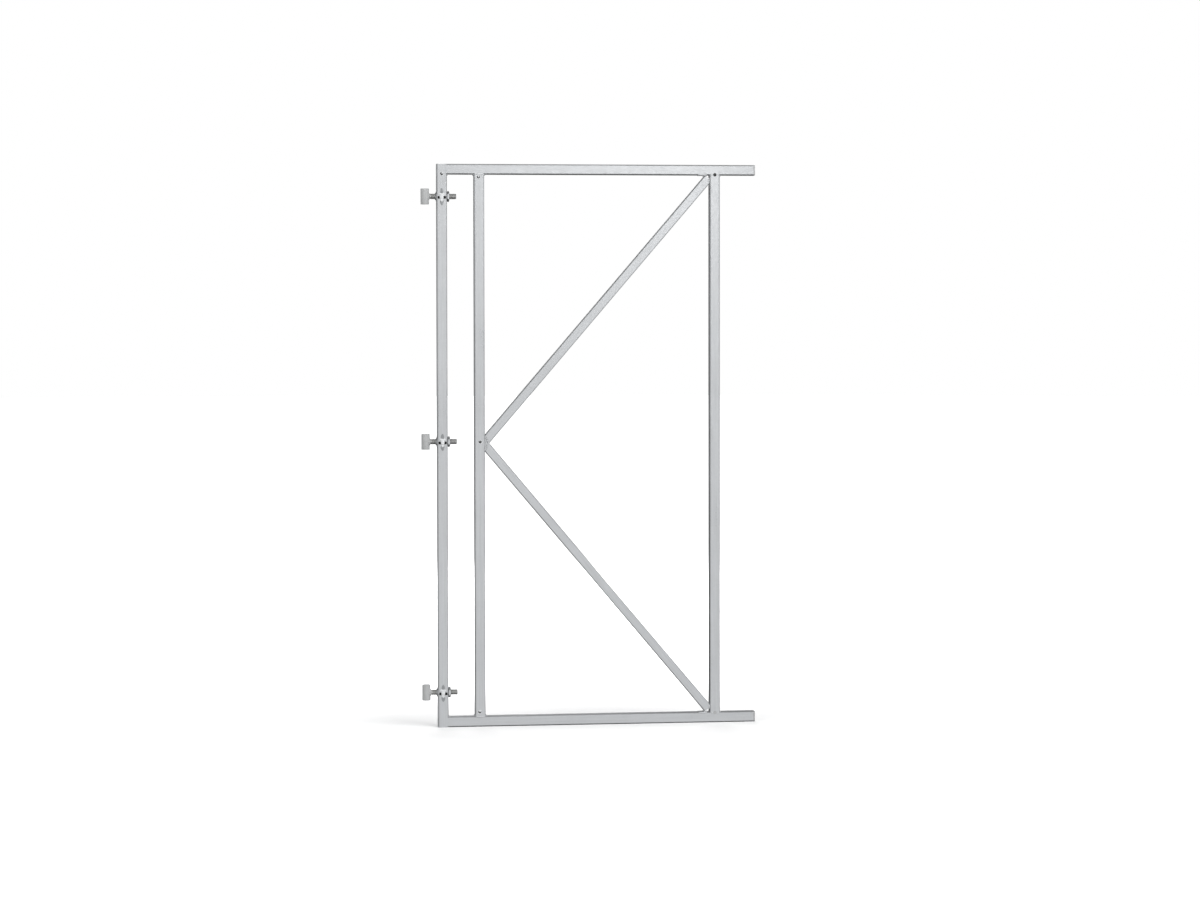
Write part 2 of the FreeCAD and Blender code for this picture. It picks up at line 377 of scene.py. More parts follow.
@dataclass(frozen=True)
class Box:
    """Lowest and highest corner of a CAD node at rest."""

    low: Vector
    high: Vector

    @classmethod
    def of(cls, node: str) -> "Box":
        """Read a node's box from the frame.

        Args:
            node: The CAD node's name.

        Returns:
            Its box.
        """
        return cls(*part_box(node))

    @property
    def centre(self) -> Vector:
        """Give the middle of the box.

        Returns:
            The point halfway between the corners.
        """
        return (self.low + self.high) / 2.0

    @property
    def size(self) -> Vector:
        """Give the edge lengths of the box.

        Returns:
            The lengths along X, Y and Z.
        """
        return self.high - self.low


def brace_slope() -> float:
    """Work out how steeply the braces rise.

    Returns:
        Their angle above level, in degrees.
    """
    end_setback = 13.0 * MM
    brace, stile = Box.of("upper_brace"), Box.of("inner_stile")
    return math.degrees(math.atan2(brace.size.z, brace.high.x - stile.high.x - end_setback))


def verts_of(geometry: Iterable[object]) -> list[BMVert]:
    """Pick the vertices out of mixed bmesh geometry.

    Args:
        geometry: Vertices, edges and faces.

    Returns:
        The vertices, in the same order.
    """
    return [item for item in geometry if isinstance(item, BMVert)]


def add_piece(
    builder: BMesh,
    name: str,
    body: str,
    material: Material,
    stands_for: Sequence[str] = (),
    crease: float = 38.0,
) -> None:
    """Turn a finished bmesh into a piece of the gate frame.

    Args:
        builder: The geometry, in place in the frame. It is freed.
        name: The piece's name.
        body: The CAD body that it rides on.
        material: Its finish.
        stands_for: CAD nodes that it is shown in place of.
        crease: Edges that turn by more than this many degrees stay sharp.
    """
    bmesh.ops.remove_doubles(builder, verts=builder.verts, dist=0.002 * MM)
    bmesh.ops.recalc_face_normals(builder, faces=builder.faces)
    mesh = bpy.data.meshes.new(name)
    builder.to_mesh(mesh)
    builder.free()
    mesh.materials.append(material)
    mesh.polygons.foreach_set("use_smooth", [True] * len(mesh.polygons))
    mesh.set_sharp_from_angle(angle=math.radians(crease))
    piece = bpy.data.objects.new(name, mesh)
    bpy.context.scene.collection.objects.link(piece)
    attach(piece, body)
    if stands_for:
        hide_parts(*stands_for)
    LOG.info("%s: %d faces on %s", name, len(mesh.polygons), body)


def spun(
    builder: BMesh, points: Sequence[Vector], centre: Vector, axis: Vector, steps: int
) -> list[BMVert]:
    """Spin a closed outline all the way round an axis.

    Args:
        builder: Where the ring is added.
        points: The outline, in order.
        centre: A point on the axis.
        axis: The axis's direction.
        steps: How many stops the full turn has.

    Returns:
        The ring's vertices.
    """
    before = set(builder.verts)
    outline = [builder.verts.new(point) for point in points]
    edges = [builder.edges.new(pair) for pair in zip(outline, outline[1:] + outline[:1])]
    bmesh.ops.spin(
        builder, geom=outline + edges, cent=centre, axis=axis, angle=FULL_TURN, steps=steps, use_merge=True
    )
    return [vert for vert in builder.verts if vert not in before]


def ring_edges(builder: BMesh, centre: Vector) -> list[BMEdge]:
    """Find the edges that run round a shape turned about an upright axis.

    Args:
        builder: The turned shape.
        centre: A point on the axis.

    Returns:
        Edges whose two ends agree in height and in distance from the axis.
    """
    found = []
    for edge in builder.edges:
        first, second = (vert.co for vert in edge.verts)
        wider = math.dist(first.xy, centre.xy) - math.dist(second.xy, centre.xy)
        if abs(first.z - second.z) < SAME and abs(wider) < SAME:
            found.append(edge)
    return found


def soften(builder: BMesh, edges: Iterable[BMEdge], width: float, segments: int) -> None:
    """Round off edges.

    Args:
        builder: The shape.
        edges: The edges to round.
        width: How far the rounding reaches from each edge.
        segments: Faces across the rounding.
    """
    bmesh.ops.bevel(
        builder, geom=list(edges), offset=width, affect="EDGES", segments=segments, profile=0.5,
        material=-1, clamp_overlap=True,
    )


@dataclass(frozen=True)
class WeldBead:
    """A straight rippled bead, half sunk in the metal that it joins."""

    start: Vector
    end: Vector
    outward: Vector
    width: float = 6.0 * MM
    height: float = 1.4 * MM
    ripple: float = 0.10
    pitch: float = 2.4 * MM
    seed: int = 1
    sides: int = 14

    def add_to(self, builder: BMesh) -> None:
        """Add the bead to a bmesh by drawing a section out along its run.

        Args:
            builder: Where the bead is added.
        """
        chance = random.Random(self.seed)
        along = (self.end - self.start).normalized()
        out = (self.outward - along * self.outward.dot(along)).normalized()
        across = along.cross(out)
        length = (self.end - self.start).length
        steps = max(6, round(length / (self.pitch / 4.0)))
        section = Matrix.Translation(self.start) @ Matrix((
            (across.x * self.width / 2, out.x * self.height, along.x, 0),
            (across.y * self.width / 2, out.y * self.height, along.y, 0),
            (across.z * self.width / 2, out.z * self.height, along.z, 0),
            (0, 0, 0, 1),
        ))
        made = bmesh.ops.create_circle(
            builder, cap_ends=True, segments=self.sides, radius=1.0, matrix=section
        )
        face = made["verts"][0].link_faces[0]
        size = self.size_at(0.0, length, chance)
        middle = Matrix.Translation(-self.start)
        bmesh.ops.scale(builder, vec=(size,) * 3, space=middle, verts=made["verts"])
        for step in range(1, steps + 1):
            grown = bmesh.ops.extrude_face_region(builder, geom=[face])["geom"]
            verts = verts_of(grown)
            face = next(item for item in grown if isinstance(item, BMFace))
            bmesh.ops.translate(builder, vec=along * (length / steps), verts=verts)
            centre = self.start + along * (length * step / steps)
            wanted = self.size_at(length * step / steps, length, chance)
            bmesh.ops.scale(
                builder, vec=(wanted / size,) * 3, space=Matrix.Translation(-centre), verts=verts
            )
            size = wanted

    def size_at(self, run: float, length: float, chance: random.Random) -> float:
        """Give the bead's size at a distance along its run.

        Args:
            run: Distance from the start.
            length: The whole run.
            chance: Source of small unevenness.

        Returns:
            A factor near 1, falling at both ends.
        """
        end = min(run, length - run) / (0.5 * self.width)
        taper = math.sin(math.pi / 2 * min(1.0, 0.35 + 0.65 * end))
        wave = 1.0 + self.ripple * math.sin(FULL_TURN * run / self.pitch)
        return taper * wave * chance.uniform(0.96, 1.04)


def lay_beads(
    builder: BMesh,
    runs: Iterable[tuple[Vector, Vector, float, float]],
    outward: Vector,
    seed: int,
    ripple: float = WeldBead.ripple,
) -> None:
    """Lay several beads that stand out the same way.

    Args:
        builder: Where the beads are added.
        runs: Start, end, width and height of each bead, the last two in millimetres.
        outward: Which way they stand out.
        seed: The first bead's seed. Each later bead's is one higher.
        ripple: How strongly they ripple.
    """
    for index, (start, end, width, height) in enumerate(runs):
        WeldBead(start, end, outward, width * MM, height * MM, ripple, seed=seed + index).add_to(builder)


# Hinges


@dataclass(frozen=True)
class HingeEye:
    """One adjustable hinge: eye, threaded stud, lock nut, bush welds."""

    name: str
    palette: Palette
    pitch: float = 2.0 * MM
    thread_depth: float = 1.1 * MM
    thread_start: float = 5.0 * MM
    end_chamfer: float = 1.6 * MM
    bore_radius: float = 8.25 * MM
    eye_rounding: float = 0.9 * MM
    turn_steps: int = 96
    nut_flats: float = 27.0 * MM
    countersink: float = 0.9 * MM
    thread_play: float = 0.05 * MM

    @property
    def eye(self) -> Box:
        """Find the eye's barrel.

        Returns:
            Its box.
        """
        return Box.of(f"{self.name}_hinge_eye")

    @property
    def stud(self) -> Box:
        """Find the stud.

        Returns:
            Its box.
        """
        return Box.of(f"{self.name}_hinge_stud")

    @property
    def bolt_body(self) -> str:
        """Name the body that the eye and stud ride on.

        Returns:
            The body's name.
        """
        return f"{self.name}_eye_bolt"

    def build(self) -> None:
        """Make every piece of the hinge."""
        self.make_barrel()
        self.make_stud()
        self.make_nut()
        self.make_eye_weld()
        self.make_bush()
        self.make_bush_weld()
        self.make_plug_weld()
        self.make_zinc_runs()

    def make_barrel(self) -> None:
        """Turn the barrel with its bore and soft rims."""
        box = self.eye
        centre, radius = box.centre, box.size.x / 2.0
        corners = (
            (self.bore_radius, box.low.z), (radius, box.low.z), (radius, box.high.z),
            (self.bore_radius, box.high.z),
        )
        builder = bmesh.new()
        outline = [Vector((centre.x + reach, centre.y, z)) for reach, z in corners]
        spun(builder, outline, centre, Vector((0, 0, 1)), self.turn_steps)
        soften(builder, ring_edges(builder, centre), self.eye_rounding, 4)
        add_piece(
            builder, f"{self.name}_eye_barrel", self.bolt_body, self.palette.eye,
            [f"{self.name}_hinge_eye"],
        )

    def make_stud(self) -> None:
        """Wind the thread, cut it square at both ends and draw out the plain neck."""
        box = self.stud
        radius, middle = box.size.z / 2.0, box.centre
        start_x = self.eye.high.x + self.thread_start
        end_x = box.high.x
        neck_x = self.eye.high.x - (self.eye.size.x / 2 - self.bore_radius) / 2
        turns = math.ceil((end_x - start_x) / self.pitch) + 3
        steps = 20
        first_x = start_x - 1.5 * self.pitch
        shape = ((0.0, 1.0), (0.38, 0.0), (0.52, 0.0), (0.90, 1.0), (1.0, 1.0))
        builder = bmesh.new()
        crest_z = middle.z + radius
        outline = [
            builder.verts.new((first_x + share * self.pitch, middle.y, crest_z - depth * self.thread_depth))
            for share, depth in shape
        ]
        edges = [builder.edges.new(pair) for pair in zip(outline, outline[1:])]
        bmesh.ops.spin(
            builder, geom=outline + edges, cent=middle, axis=Vector((1, 0, 0)), angle=FULL_TURN * turns,
            steps=steps * turns, dvec=Vector((self.pitch / steps, 0, 0)),
        )
        bmesh.ops.remove_doubles(builder, verts=builder.verts, dist=0.01 * MM)
        for cut_x, outward in ((start_x, -1.0), (end_x, 1.0)):
            bmesh.ops.bisect_plane(
                builder, geom=[*builder.verts, *builder.edges, *builder.faces], plane_co=(cut_x, 0, 0),
                plane_no=(outward, 0, 0), clear_outer=True, dist=0.001 * MM,
            )
            rim = [edge for edge in builder.edges if edge.is_boundary and self.lies_at(edge, cut_x)]
            made = bmesh.ops.contextual_create(builder, geom=rim)["faces"]
            if outward < 0:
                grown = bmesh.ops.extrude_face_region(builder, geom=made)["geom"]
                bmesh.ops.translate(builder, vec=(neck_x - cut_x, 0, 0), verts=verts_of(grown))
        for vert in builder.verts:
            reach = math.hypot(vert.co.y - middle.y, vert.co.z - middle.z)
            limit = radius - max(0.0, vert.co.x - (end_x - self.end_chamfer))
            if reach > limit:
                vert.co.y = middle.y + (vert.co.y - middle.y) * limit / reach
                vert.co.z = middle.z + (vert.co.z - middle.z) * limit / reach
        add_piece(
            builder, f"{self.name}_threaded_stud", self.bolt_body, self.palette.thread,
            [f"{self.name}_hinge_stud"], crease=28.0,
        )

    @staticmethod
    def lies_at(edge: BMEdge, x: float) -> bool:
        """Tell whether both ends of an edge are at one X.

        Args:
            edge: The edge.
            x: The X to compare with.

        Returns:
            True if both are within 0.02 mm of it.
        """
        return all(abs(vert.co.x - x) < 0.02 * MM for vert in edge.verts)

    def make_nut(self) -> None:
        """Form a hexagon nut, chamfered on both faces, with a countersunk bore."""
        box = Box.of(f"{self.name}_lock_nut")
        middle = box.centre
        half = box.size.x / 2.0
        flats = self.nut_flats / 2.0
        face_radius = flats * 0.955
        bore = self.stud.size.z / 2.0 + self.thread_play
        builder = bmesh.new()
        facing = Matrix.Rotation(math.pi / 2, 4, "Y")
        rings = (
            (-half, "chamfer"), (-half, "face"), (-half, "sink"), (-half + self.countersink, "bore"),
            (half - self.countersink, "bore"), (half, "sink"), (half, "face"), (half, "chamfer"),
        )
        made = bmesh.ops.create_circle(
            builder, cap_ends=False, segments=self.turn_steps, radius=1.0,
            matrix=Matrix.Translation(middle) @ facing,
        )
        loop = {vert: vert.co - middle for vert in made["verts"]}
        edges = list({edge for vert in loop for edge in vert.link_edges})
        self.shape_nut_ring(loop, middle, rings[0], flats, face_radius, bore)
        for ring in rings[1:]:
            grown = bmesh.ops.extrude_edge_only(builder, edges=edges)["geom"]
            edges = [item for item in grown if isinstance(item, BMEdge)]
            turned = {}
            for vert in verts_of(grown):
                neighbours = [edge.other_vert(vert) for edge in vert.link_edges]
                turned[vert] = next(loop[other] for other in neighbours if other in loop)
            loop = turned
            self.shape_nut_ring(loop, middle, ring, flats, face_radius, bore)
        open_edges = [edge for edge in builder.edges if edge.is_boundary]
        bmesh.ops.bridge_loops(builder, edges=open_edges)
        add_piece(
            builder, f"{self.name}_hexagon_nut", f"{self.name}_nut", self.palette.nut,
            [f"{self.name}_lock_nut"], crease=20.0,
        )

    @staticmethod
    def shape_nut_ring(
        loop: dict[BMVert, Vector],
        middle: Vector,
        ring: tuple[float, str],
        flats: float,
        face_radius: float,
        bore: float,
    ) -> None:
        """Put one ring of nut vertices in place.

        Args:
            loop: Vertices with their unit directions from the axis.
            middle: Centre of the nut.
            ring: Distance from the middle along X, and which ring it is.
            flats: Half the width across flats.
            face_radius: Radius where the chamfer meets the face.
            bore: Radius of the bore.
        """
        along, kind = ring
        for vert, direction in loop.items():
            turn = math.atan2(direction.y, direction.z)
            sixth = (turn + math.pi / 6) % (math.pi / 3) - math.pi / 6
            # corners point up and down, so a flat's middle is a twelfth of a turn away
            away = math.pi / 6 - abs(sixth)
            hexagon = flats / math.cos(away)
            inward = (hexagon - face_radius) * math.tan(math.radians(30))
            reach = {"chamfer": hexagon, "face": face_radius, "sink": bore + 0.9 * MM, "bore": bore}[kind]
            shift = inward if kind == "chamfer" else 0.0
            x = along - math.copysign(shift, along)
            vert.co = middle + Vector((x, direction.y * reach, direction.z * reach))

    def make_eye_weld(self) -> None:
        """Lay a rippled ring weld between the barrel and the neck of the stud."""
        box = Box.of(f"{self.name}_eye_weld")
        neck = self.stud.size.z / 2.0
        radius = self.eye.size.x / 2.0
        leg = 0.6 * (box.high.x - self.eye.high.x)
        centre = self.stud.centre
        root_x = self.eye.high.x - 2.0 * MM
        builder = bmesh.new()
        outline = [Vector((root_x, 0.0, neck - 1.0 * MM)), Vector((root_x, 0.0, neck + leg + 0.4 * MM))]
        for step in range(6):
            turn = math.radians(18 * step)
            x = self.eye.high.x - 0.2 * MM + leg * 1.15 * math.sin(turn)
            outline.append(Vector((x, 0.0, neck + 0.2 * MM + leg * math.cos(turn))))
        outline.append(Vector((self.eye.high.x + leg * 1.1, 0.0, neck - 1.0 * MM)))
        lift = Vector((0.0, centre.y, centre.z))
        verts = spun(builder, [point + lift for point in outline], centre, Vector((1, 0, 0)), 120)
        chance = random.Random(len(self.name))
        start_turn = chance.uniform(0.0, FULL_TURN)
        for vert in verts:
            offset = vert.co - centre
            turn = math.atan2(offset.z, offset.y) + start_turn
            reach = math.hypot(offset.y, offset.z)
            if reach > neck + 0.1 * MM:
                swell = 1.0 + 0.045 * math.sin(24 * turn) + 0.03 * math.sin(3 * turn)
                vert.co.y = centre.y + offset.y * swell
                vert.co.z = centre.z + offset.z * swell
            sag = radius - math.sqrt(max(0.0, radius ** 2 - min(abs(offset.y), radius * 0.95) ** 2))
            closeness = max(0.0, 1.0 - (vert.co.x - root_x) / (leg + 2.0 * MM))
            vert.co.x -= sag * closeness
        add_piece(
            builder, f"{self.name}_eye_weld_ring", self.bolt_body, self.palette.eye,
            [f"{self.name}_eye_weld"], crease=50.0,
        )

    def make_bush(self) -> None:
        """Turn the threaded bush: its sleeve in the post, near-black as painted shade in the slot, and its
        zinc-coated outer end.
        """
        box = Box.of(f"{self.name}_hinge_bush")
        post_x = Box.of("hinge_post").low.x
        bore, radius = self.stud.size.z / 2.0 + self.thread_play, box.size.z / 2.0
        sleeve = ((post_x, bore), (post_x, radius), (box.high.x, radius), (box.high.x, bore))
        end = (
            (box.low.x, bore), (box.low.x, radius - 2.2 * MM), (box.low.x + 0.8 * MM, radius - 1.2 * MM),
            (post_x - 1.4 * MM, radius - 0.4 * MM), (post_x, radius), (post_x, bore),
        )
        # The sleeve's near-black finish is painted shade for the slot in the post's front.
        parts = (("bush_sleeve", sleeve, self.palette.bush), ("bush_end", end, self.palette.nut))
        for part, corners, material in parts:
            builder = bmesh.new()
            outline = [Vector((x, box.centre.y, box.centre.z + reach)) for x, reach in corners]
            spun(builder, outline, box.centre, Vector((1, 0, 0)), self.turn_steps)
            add_piece(
                builder, f"{self.name}_{part}", ROOT, material,
                [f"{self.name}_hinge_bush"], crease=30.0,
            )

    def make_bush_weld(self) -> None:
        """Lay the ring weld that holds the bush on the post's outer side."""
        bush = Box.of(f"{self.name}_hinge_bush")
        post = Box.of("hinge_post")
        centre = bush.centre
        bush_radius = bush.size.z / 2.0
        inside_x, foot_x = post.low.x + 3.6 * MM, post.low.x + 0.6 * MM
        wide = bush_radius + 3.2 * MM
        outstand = 2.0 * MM
        builder = bmesh.new()
        points = [(inside_x, bush_radius - 1.0 * MM), (inside_x, wide), (foot_x, wide)]
        for step in range(1, 7):
            turn = math.radians(15 * step)
            points.append((
                foot_x - outstand * math.sin(turn),
                bush_radius - 0.2 * MM + (wide - bush_radius + 0.2 * MM) * math.cos(turn),
            ))
        points.append((foot_x - outstand, bush_radius - 1.0 * MM))
        outline = [Vector((x, centre.y, centre.z + reach)) for x, reach in points]
        verts = spun(builder, outline, centre, Vector((1, 0, 0)), 144)
        chance = random.Random(7 + len(self.name))
        start_turn = chance.uniform(0.0, FULL_TURN)
        for vert in verts:
            offset = vert.co - centre
            reach = math.hypot(offset.y, offset.z)
            if reach > bush_radius - 0.1 * MM:
                turn = math.atan2(offset.z, offset.y) + start_turn
                ripple = 0.3 * MM * math.sin(26 * turn) + 0.3 * MM * math.sin(2 * turn + 1.0)
                tall = abs(offset.z) / reach
                swell = (reach + ripple + 0.8 * MM * tall ** 2) / reach
                vert.co.y = centre.y + offset.y * swell * 0.985
                vert.co.z = centre.z + offset.z * swell
        add_piece(
            builder, f"{self.name}_bush_ring_weld", ROOT, self.palette.nut,
            [f"{self.name}_bush_welds"], crease=50.0,
        )

    def make_plug_weld(self) -> None:
        """Lay the plug weld: a bead along the slot's upper edge, a wide tongue and its drip."""
        post = Box.of("hinge_post")
        centre = Box.of(f"{self.name}_hinge_bush").centre
        front = post.low.y + 0.3 * MM
        builder = bmesh.new()
        chance = random.Random(20 + len(self.name))
        lean = chance.uniform(-0.8, 0.8) * MM
        middle = post.centre.x + lean
        rows = (
            (-8.5, 6.8, 17.0, 0.0, 4.6, 1.5),
            (-1.6, 7.5, 0.6, -17.0, 8.5, 1.9),
            (2.2, 7.0, -0.8, -15.0, 7.5, 1.8),
            (-0.3, -4.0, 0.5, -11.0, 7.0, 1.3),
        )
        runs = []
        for x, z, run_x, run_z, width, height in rows:
            start = Vector((middle + x * MM, front, centre.z + z * MM))
            runs.append((start, start + Vector((run_x * MM, 0.0, run_z * MM)), width, height))
        lay_beads(builder, runs, Vector((0.0, -1.0, 0.0)), 30 + len(self.name), ripple=0.06)
        add_piece(
            builder, f"{self.name}_plug_weld", ROOT, self.palette.weld,
            [f"{self.name}_bush_welds"], crease=60.0,
        )

    def make_zinc_runs(self) -> None:
        """Add the dull tongues of zinc above and below the plug weld."""
        post = Box.of("hinge_post")
        centre = Box.of(f"{self.name}_hinge_bush").centre
        builder = bmesh.new()
        tongues = (
            (centre.z + 8.5 * MM, 15.0 * MM, 6.0 * MM, 1.0),
            (centre.z - 10.0 * MM, 16.0 * MM, 7.0 * MM, -1.0),
        )
        for root_z, length, half_width, upward in tongues:
            made = bmesh.ops.create_uvsphere(builder, u_segments=32, v_segments=20, radius=1.0)
            for vert in made["verts"]:
                rise = (vert.co.z + 1.0) / 2.0
                narrow = 1.0 - 0.55 * rise
                vert.co = Vector((
                    post.centre.x + vert.co.x * half_width * narrow,
                    post.low.y + vert.co.y * 0.3 * MM,
                    root_z + upward * rise * length,
                ))
        add_piece(builder, f"{self.name}_zinc_runs", ROOT, self.palette.run, crease=60.0)


# Frame


@dataclass(frozen=True)
class TubeFrame:
    """The welded square tubes, whose CAD shapes are kept and dressed."""

    palette: Palette

    def build(self) -> None:
        """Give every carried-over CAD node its finish."""
        finishes = (
            (self.palette.upright, ("hinge_post", "post_top_plate", "post_bottom_plate", "post_welds")),
            (self.palette.upright, ("inner_stile", "inner_stile_welds")),
            (self.palette.upright, ("outer_stile", "outer_stile_welds")),
            (self.palette.lying, ("top_rail", "bottom_rail")),
            (self.palette.upper_brace, ("upper_brace",)),
            (self.palette.lower_brace, ("lower_brace",)),
            (self.palette.weld, ("upper_brace_weld", "lower_brace_weld", "knee_weld")),
        )
        for material, nodes in finishes:
            for node in nodes:
                self.dress(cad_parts[node], material)

    @staticmethod
    def dress(piece: Object, material: Material) -> None:
        """Put one material in every slot of a CAD node.

        Args:
            piece: The node's object.
            material: Its finish.
        """
        if not piece.material_slots:
            piece.data.materials.append(material)
        for slot in piece.material_slots:
            slot.material = material
        LOG.info("%s: dressed with %s", piece.name, material.name)


@dataclass(frozen=True)
class FrameWelds:
    """Rippled beads over the frame's seams and in its inside corners."""

    palette: Palette
    tube: float = 30.0 * MM
    corner: float = 4.0 * MM
    brace_depth: float = 12.5 * MM
    vent_room: float = 6.5 * MM

    def build(self) -> None:
        """Lay every bead of the frame."""
        post, top, bottom = Box.of("hinge_post"), Box.of("top_rail"), Box.of("bottom_rail")
        inner, outer = Box.of("inner_stile"), Box.of("outer_stile")
        self.make_corner_beads("post", post.high.x, (1,), top.low.z, bottom.high.z)
        self.make_corner_beads("inner_stile", inner.centre.x, (-1, 1), top.low.z, bottom.high.z)
        self.make_corner_beads("outer_stile", outer.centre.x, (1,), top.low.z, bottom.high.z)
        self.make_seam_beads("inner_stile", inner, top.low.z, bottom.high.z)
        self.make_seam_beads("outer_stile", outer, top.low.z, bottom.high.z, vented=True)
        self.make_knee_beads()
        self.make_brace_beads("upper", 1.0)
        self.make_brace_beads("lower", -1.0)

    def make_corner_beads(
        self, name: str, x: float, sides: Sequence[int], top_z: float, bottom_z: float
    ) -> None:
        """Lay the fillets in the corners beside one upright.

        Args:
            name: The upright's name.
            x: Its middle, or for the post its inner side.
            sides: Which sides have fillets, by the sign of X.
            top_z: Underside of the top rail.
            bottom_z: Top of the bottom rail.
        """
        builder = bmesh.new()
        depth = self.tube / 2 - self.corner
        for side in sides:
            corner_x = x if name == "post" else x + side * self.tube / 2
            for z, towards in ((top_z, -1.0), (bottom_z, 1.0)):
                WeldBead(
                    Vector((corner_x, -depth - 0.6 * MM, z)),
                    Vector((corner_x, depth + 0.6 * MM, z)),
                    Vector((side, 0.0, towards)),
                    width=7.2 * MM,
                    height=3.1 * MM,
                    seed=round(abs(corner_x) * 1000) + (1 if towards > 0 else 0),
                ).add_to(builder)
        add_piece(builder, f"{name}_corner_beads", ROOT, self.palette.bead, crease=60.0)

    def make_seam_beads(
        self, name: str, stile: Box, top_z: float, bottom_z: float, vented: bool = False
    ) -> None:
        """Lay flat beads over the seams between one stile and the rails, front and back.

        Args:
            name: The stile's name.
            stile: Its box.
            top_z: Underside of the top rail.
            bottom_z: Top of the bottom rail.
            vented: Whether the front seams leave room for a vent hole in the middle.
        """
        builder = bmesh.new()
        reach = self.tube / 2 - 2.5 * MM
        for side in Side:
            y = side.value * (self.tube / 2 - 0.25 * MM)
            split = vented and side is Side.FRONT
            runs = ((-reach, -self.vent_room), (self.vent_room, reach)) if split else ((-reach, reach),)
            for z in (top_z + 1.5 * MM, bottom_z - 1.5 * MM):
                for start, end in runs:
                    WeldBead(
                        Vector((stile.centre.x + start, y, z)),
                        Vector((stile.centre.x + end, y, z)),
                        Vector((0.0, side.value, 0.0)),
                        width=6.0 * MM,
                        height=0.8 * MM,
                        ripple=0.14,
                        seed=round((stile.centre.x + z + y + start) * 1000),
                    ).add_to(builder)
        add_piece(builder, f"{name}_seam_beads", ROOT, self.palette.bead, crease=60.0)

    def make_knee_beads(self) -> None:
        """Fill the knee with beads along the stile and both brace ends, front and back."""
        knee = Box.of("knee_weld")
        tip = Vector((knee.high.x, 0.0, Box.of("upper_brace").low.z))
        builder = bmesh.new()
        for side in Side:
            y = side.value * (self.brace_depth - 1.6 * MM)
            out = Vector((0.25, side.value, 0.0))
            upper = Vector((knee.low.x + 1.2 * MM, y, knee.high.z - 1.0 * MM))
            lower = Vector((knee.low.x + 1.2 * MM, y, knee.low.z + 1.0 * MM))
            point = Vector((tip.x - 2.5 * MM, y, tip.z))
            runs = ((upper, lower, 7.0, 3.2), (upper, point, 6.0, 2.8), (lower, point, 6.0, 2.8))
            lay_beads(builder, runs, out, 40, ripple=0.12)
        add_piece(builder, "knee_beads", ROOT, self.palette.bead, crease=60.0)

    def make_brace_beads(self, name: str, upward: float) -> None:
        """Lay the beads that hold a brace's square end to the rail and the outer stile.

        Args:
            name: Which brace.
            upward: 1 where the brace rises to the top rail, -1 where it falls.
        """
        weld = Box.of(f"{name}_brace_weld")
        rail_z = weld.high.z if upward > 0 else weld.low.z
        end_z = weld.low.z if upward > 0 else weld.high.z
        builder = bmesh.new()
        for side in Side:
            y = side.value * (self.brace_depth - 1.2 * MM)
            out = Vector((0.0, side.value, 0.0))
            rail_start = Vector((weld.low.x - 2.0 * MM, y, rail_z - upward * 0.8 * MM))
            rail_end = Vector((weld.high.x - 8.5 * MM, y, rail_z - upward * 0.8 * MM))
            stile_start = Vector((weld.high.x - 0.8 * MM, y, end_z - upward * 4.0 * MM))
            stile_end = Vector((weld.high.x - 0.8 * MM, y, rail_z - upward * 9.0 * MM))
            edge_y = side.value * (self.tube / 2 - 1.0 * MM)
            edge_start = Vector((weld.low.x - 18.0 * MM, edge_y, rail_z + upward * 1.6 * MM))
            edge_end = Vector((weld.high.x - 9.0 * MM, edge_y, rail_z + upward * 1.2 * MM))
            runs = (
                (rail_start, rail_end, 5.0, 2.6),
                (stile_start, stile_end, 5.0, 2.6),
                (edge_start, edge_end, 4.6, 1.4),
            )
            lay_beads(builder, runs, out, 60)
        add_piece(builder, f"{name}_brace_beads", ROOT, self.palette.bead, crease=60.0)


@dataclass(frozen=True)
class VentLip:
    """Thickened zinc round one vent hole, with the drop that hung in it."""

    name: str
    centre: Vector
    drop: Vector
    drop_radius: float
    palette: Palette
    radius: float = 5.0 * MM
    lip: float = 0.55 * MM

    def build(self) -> None:
        """Make the lip and the drop as one piece."""
        builder = bmesh.new()
        outline = []
        for step in range(8):
            turn = FULL_TURN * step / 8
            reach = self.radius + self.lip * 0.6 + self.lip * 1.5 * math.cos(turn)
            outline.append(self.centre + Vector((reach, self.lip * math.sin(turn), 0.0)))
        verts = spun(builder, outline, self.centre, Vector((0, 1, 0)), 48)
        towards = self.drop.normalized()
        for vert in verts:
            offset = vert.co - self.centre
            flat = Vector((offset.x, 0.0, offset.z))
            lean = max(0.0, flat.normalized().dot(towards))
            vert.co.y = self.centre.y + offset.y * (0.6 + 0.9 * lean)
        made = bmesh.ops.create_uvsphere(builder, u_segments=24, v_segments=16, radius=self.drop_radius)
        bmesh.ops.scale(builder, vec=(1.0, 0.75, 1.25), verts=made["verts"])
        drop_centre = self.centre + self.drop + Vector((0, 1.0 * MM, 0))
        bmesh.ops.translate(builder, vec=drop_centre, verts=made["verts"])
        add_piece(builder, self.name, ROOT, self.palette.weld, crease=60.0)


@dataclass(frozen=True)
class VentFilling:
    """Thin disc inside a vent hole: near-black as painted shade, or zinc-grey as a zinc filling."""

    name: str
    centre: Vector
    depth: float
    material: Material
    radius: float = 4.9 * MM
    thickness: float = 0.4 * MM

    def build(self) -> None:
        """Make the disc, its depth below the tube's face."""
        builder = bmesh.new()
        place = Matrix.Translation(self.centre + Vector((0.0, self.depth + self.thickness / 2.0, 0.0)))
        bmesh.ops.create_cone(
            builder, cap_ends=True, segments=32, radius1=self.radius, radius2=self.radius,
            depth=self.thickness, matrix=place @ Matrix.Rotation(math.radians(90.0), 4, "X"),
        )
        add_piece(builder, self.name, ROOT, self.material, crease=30.0)


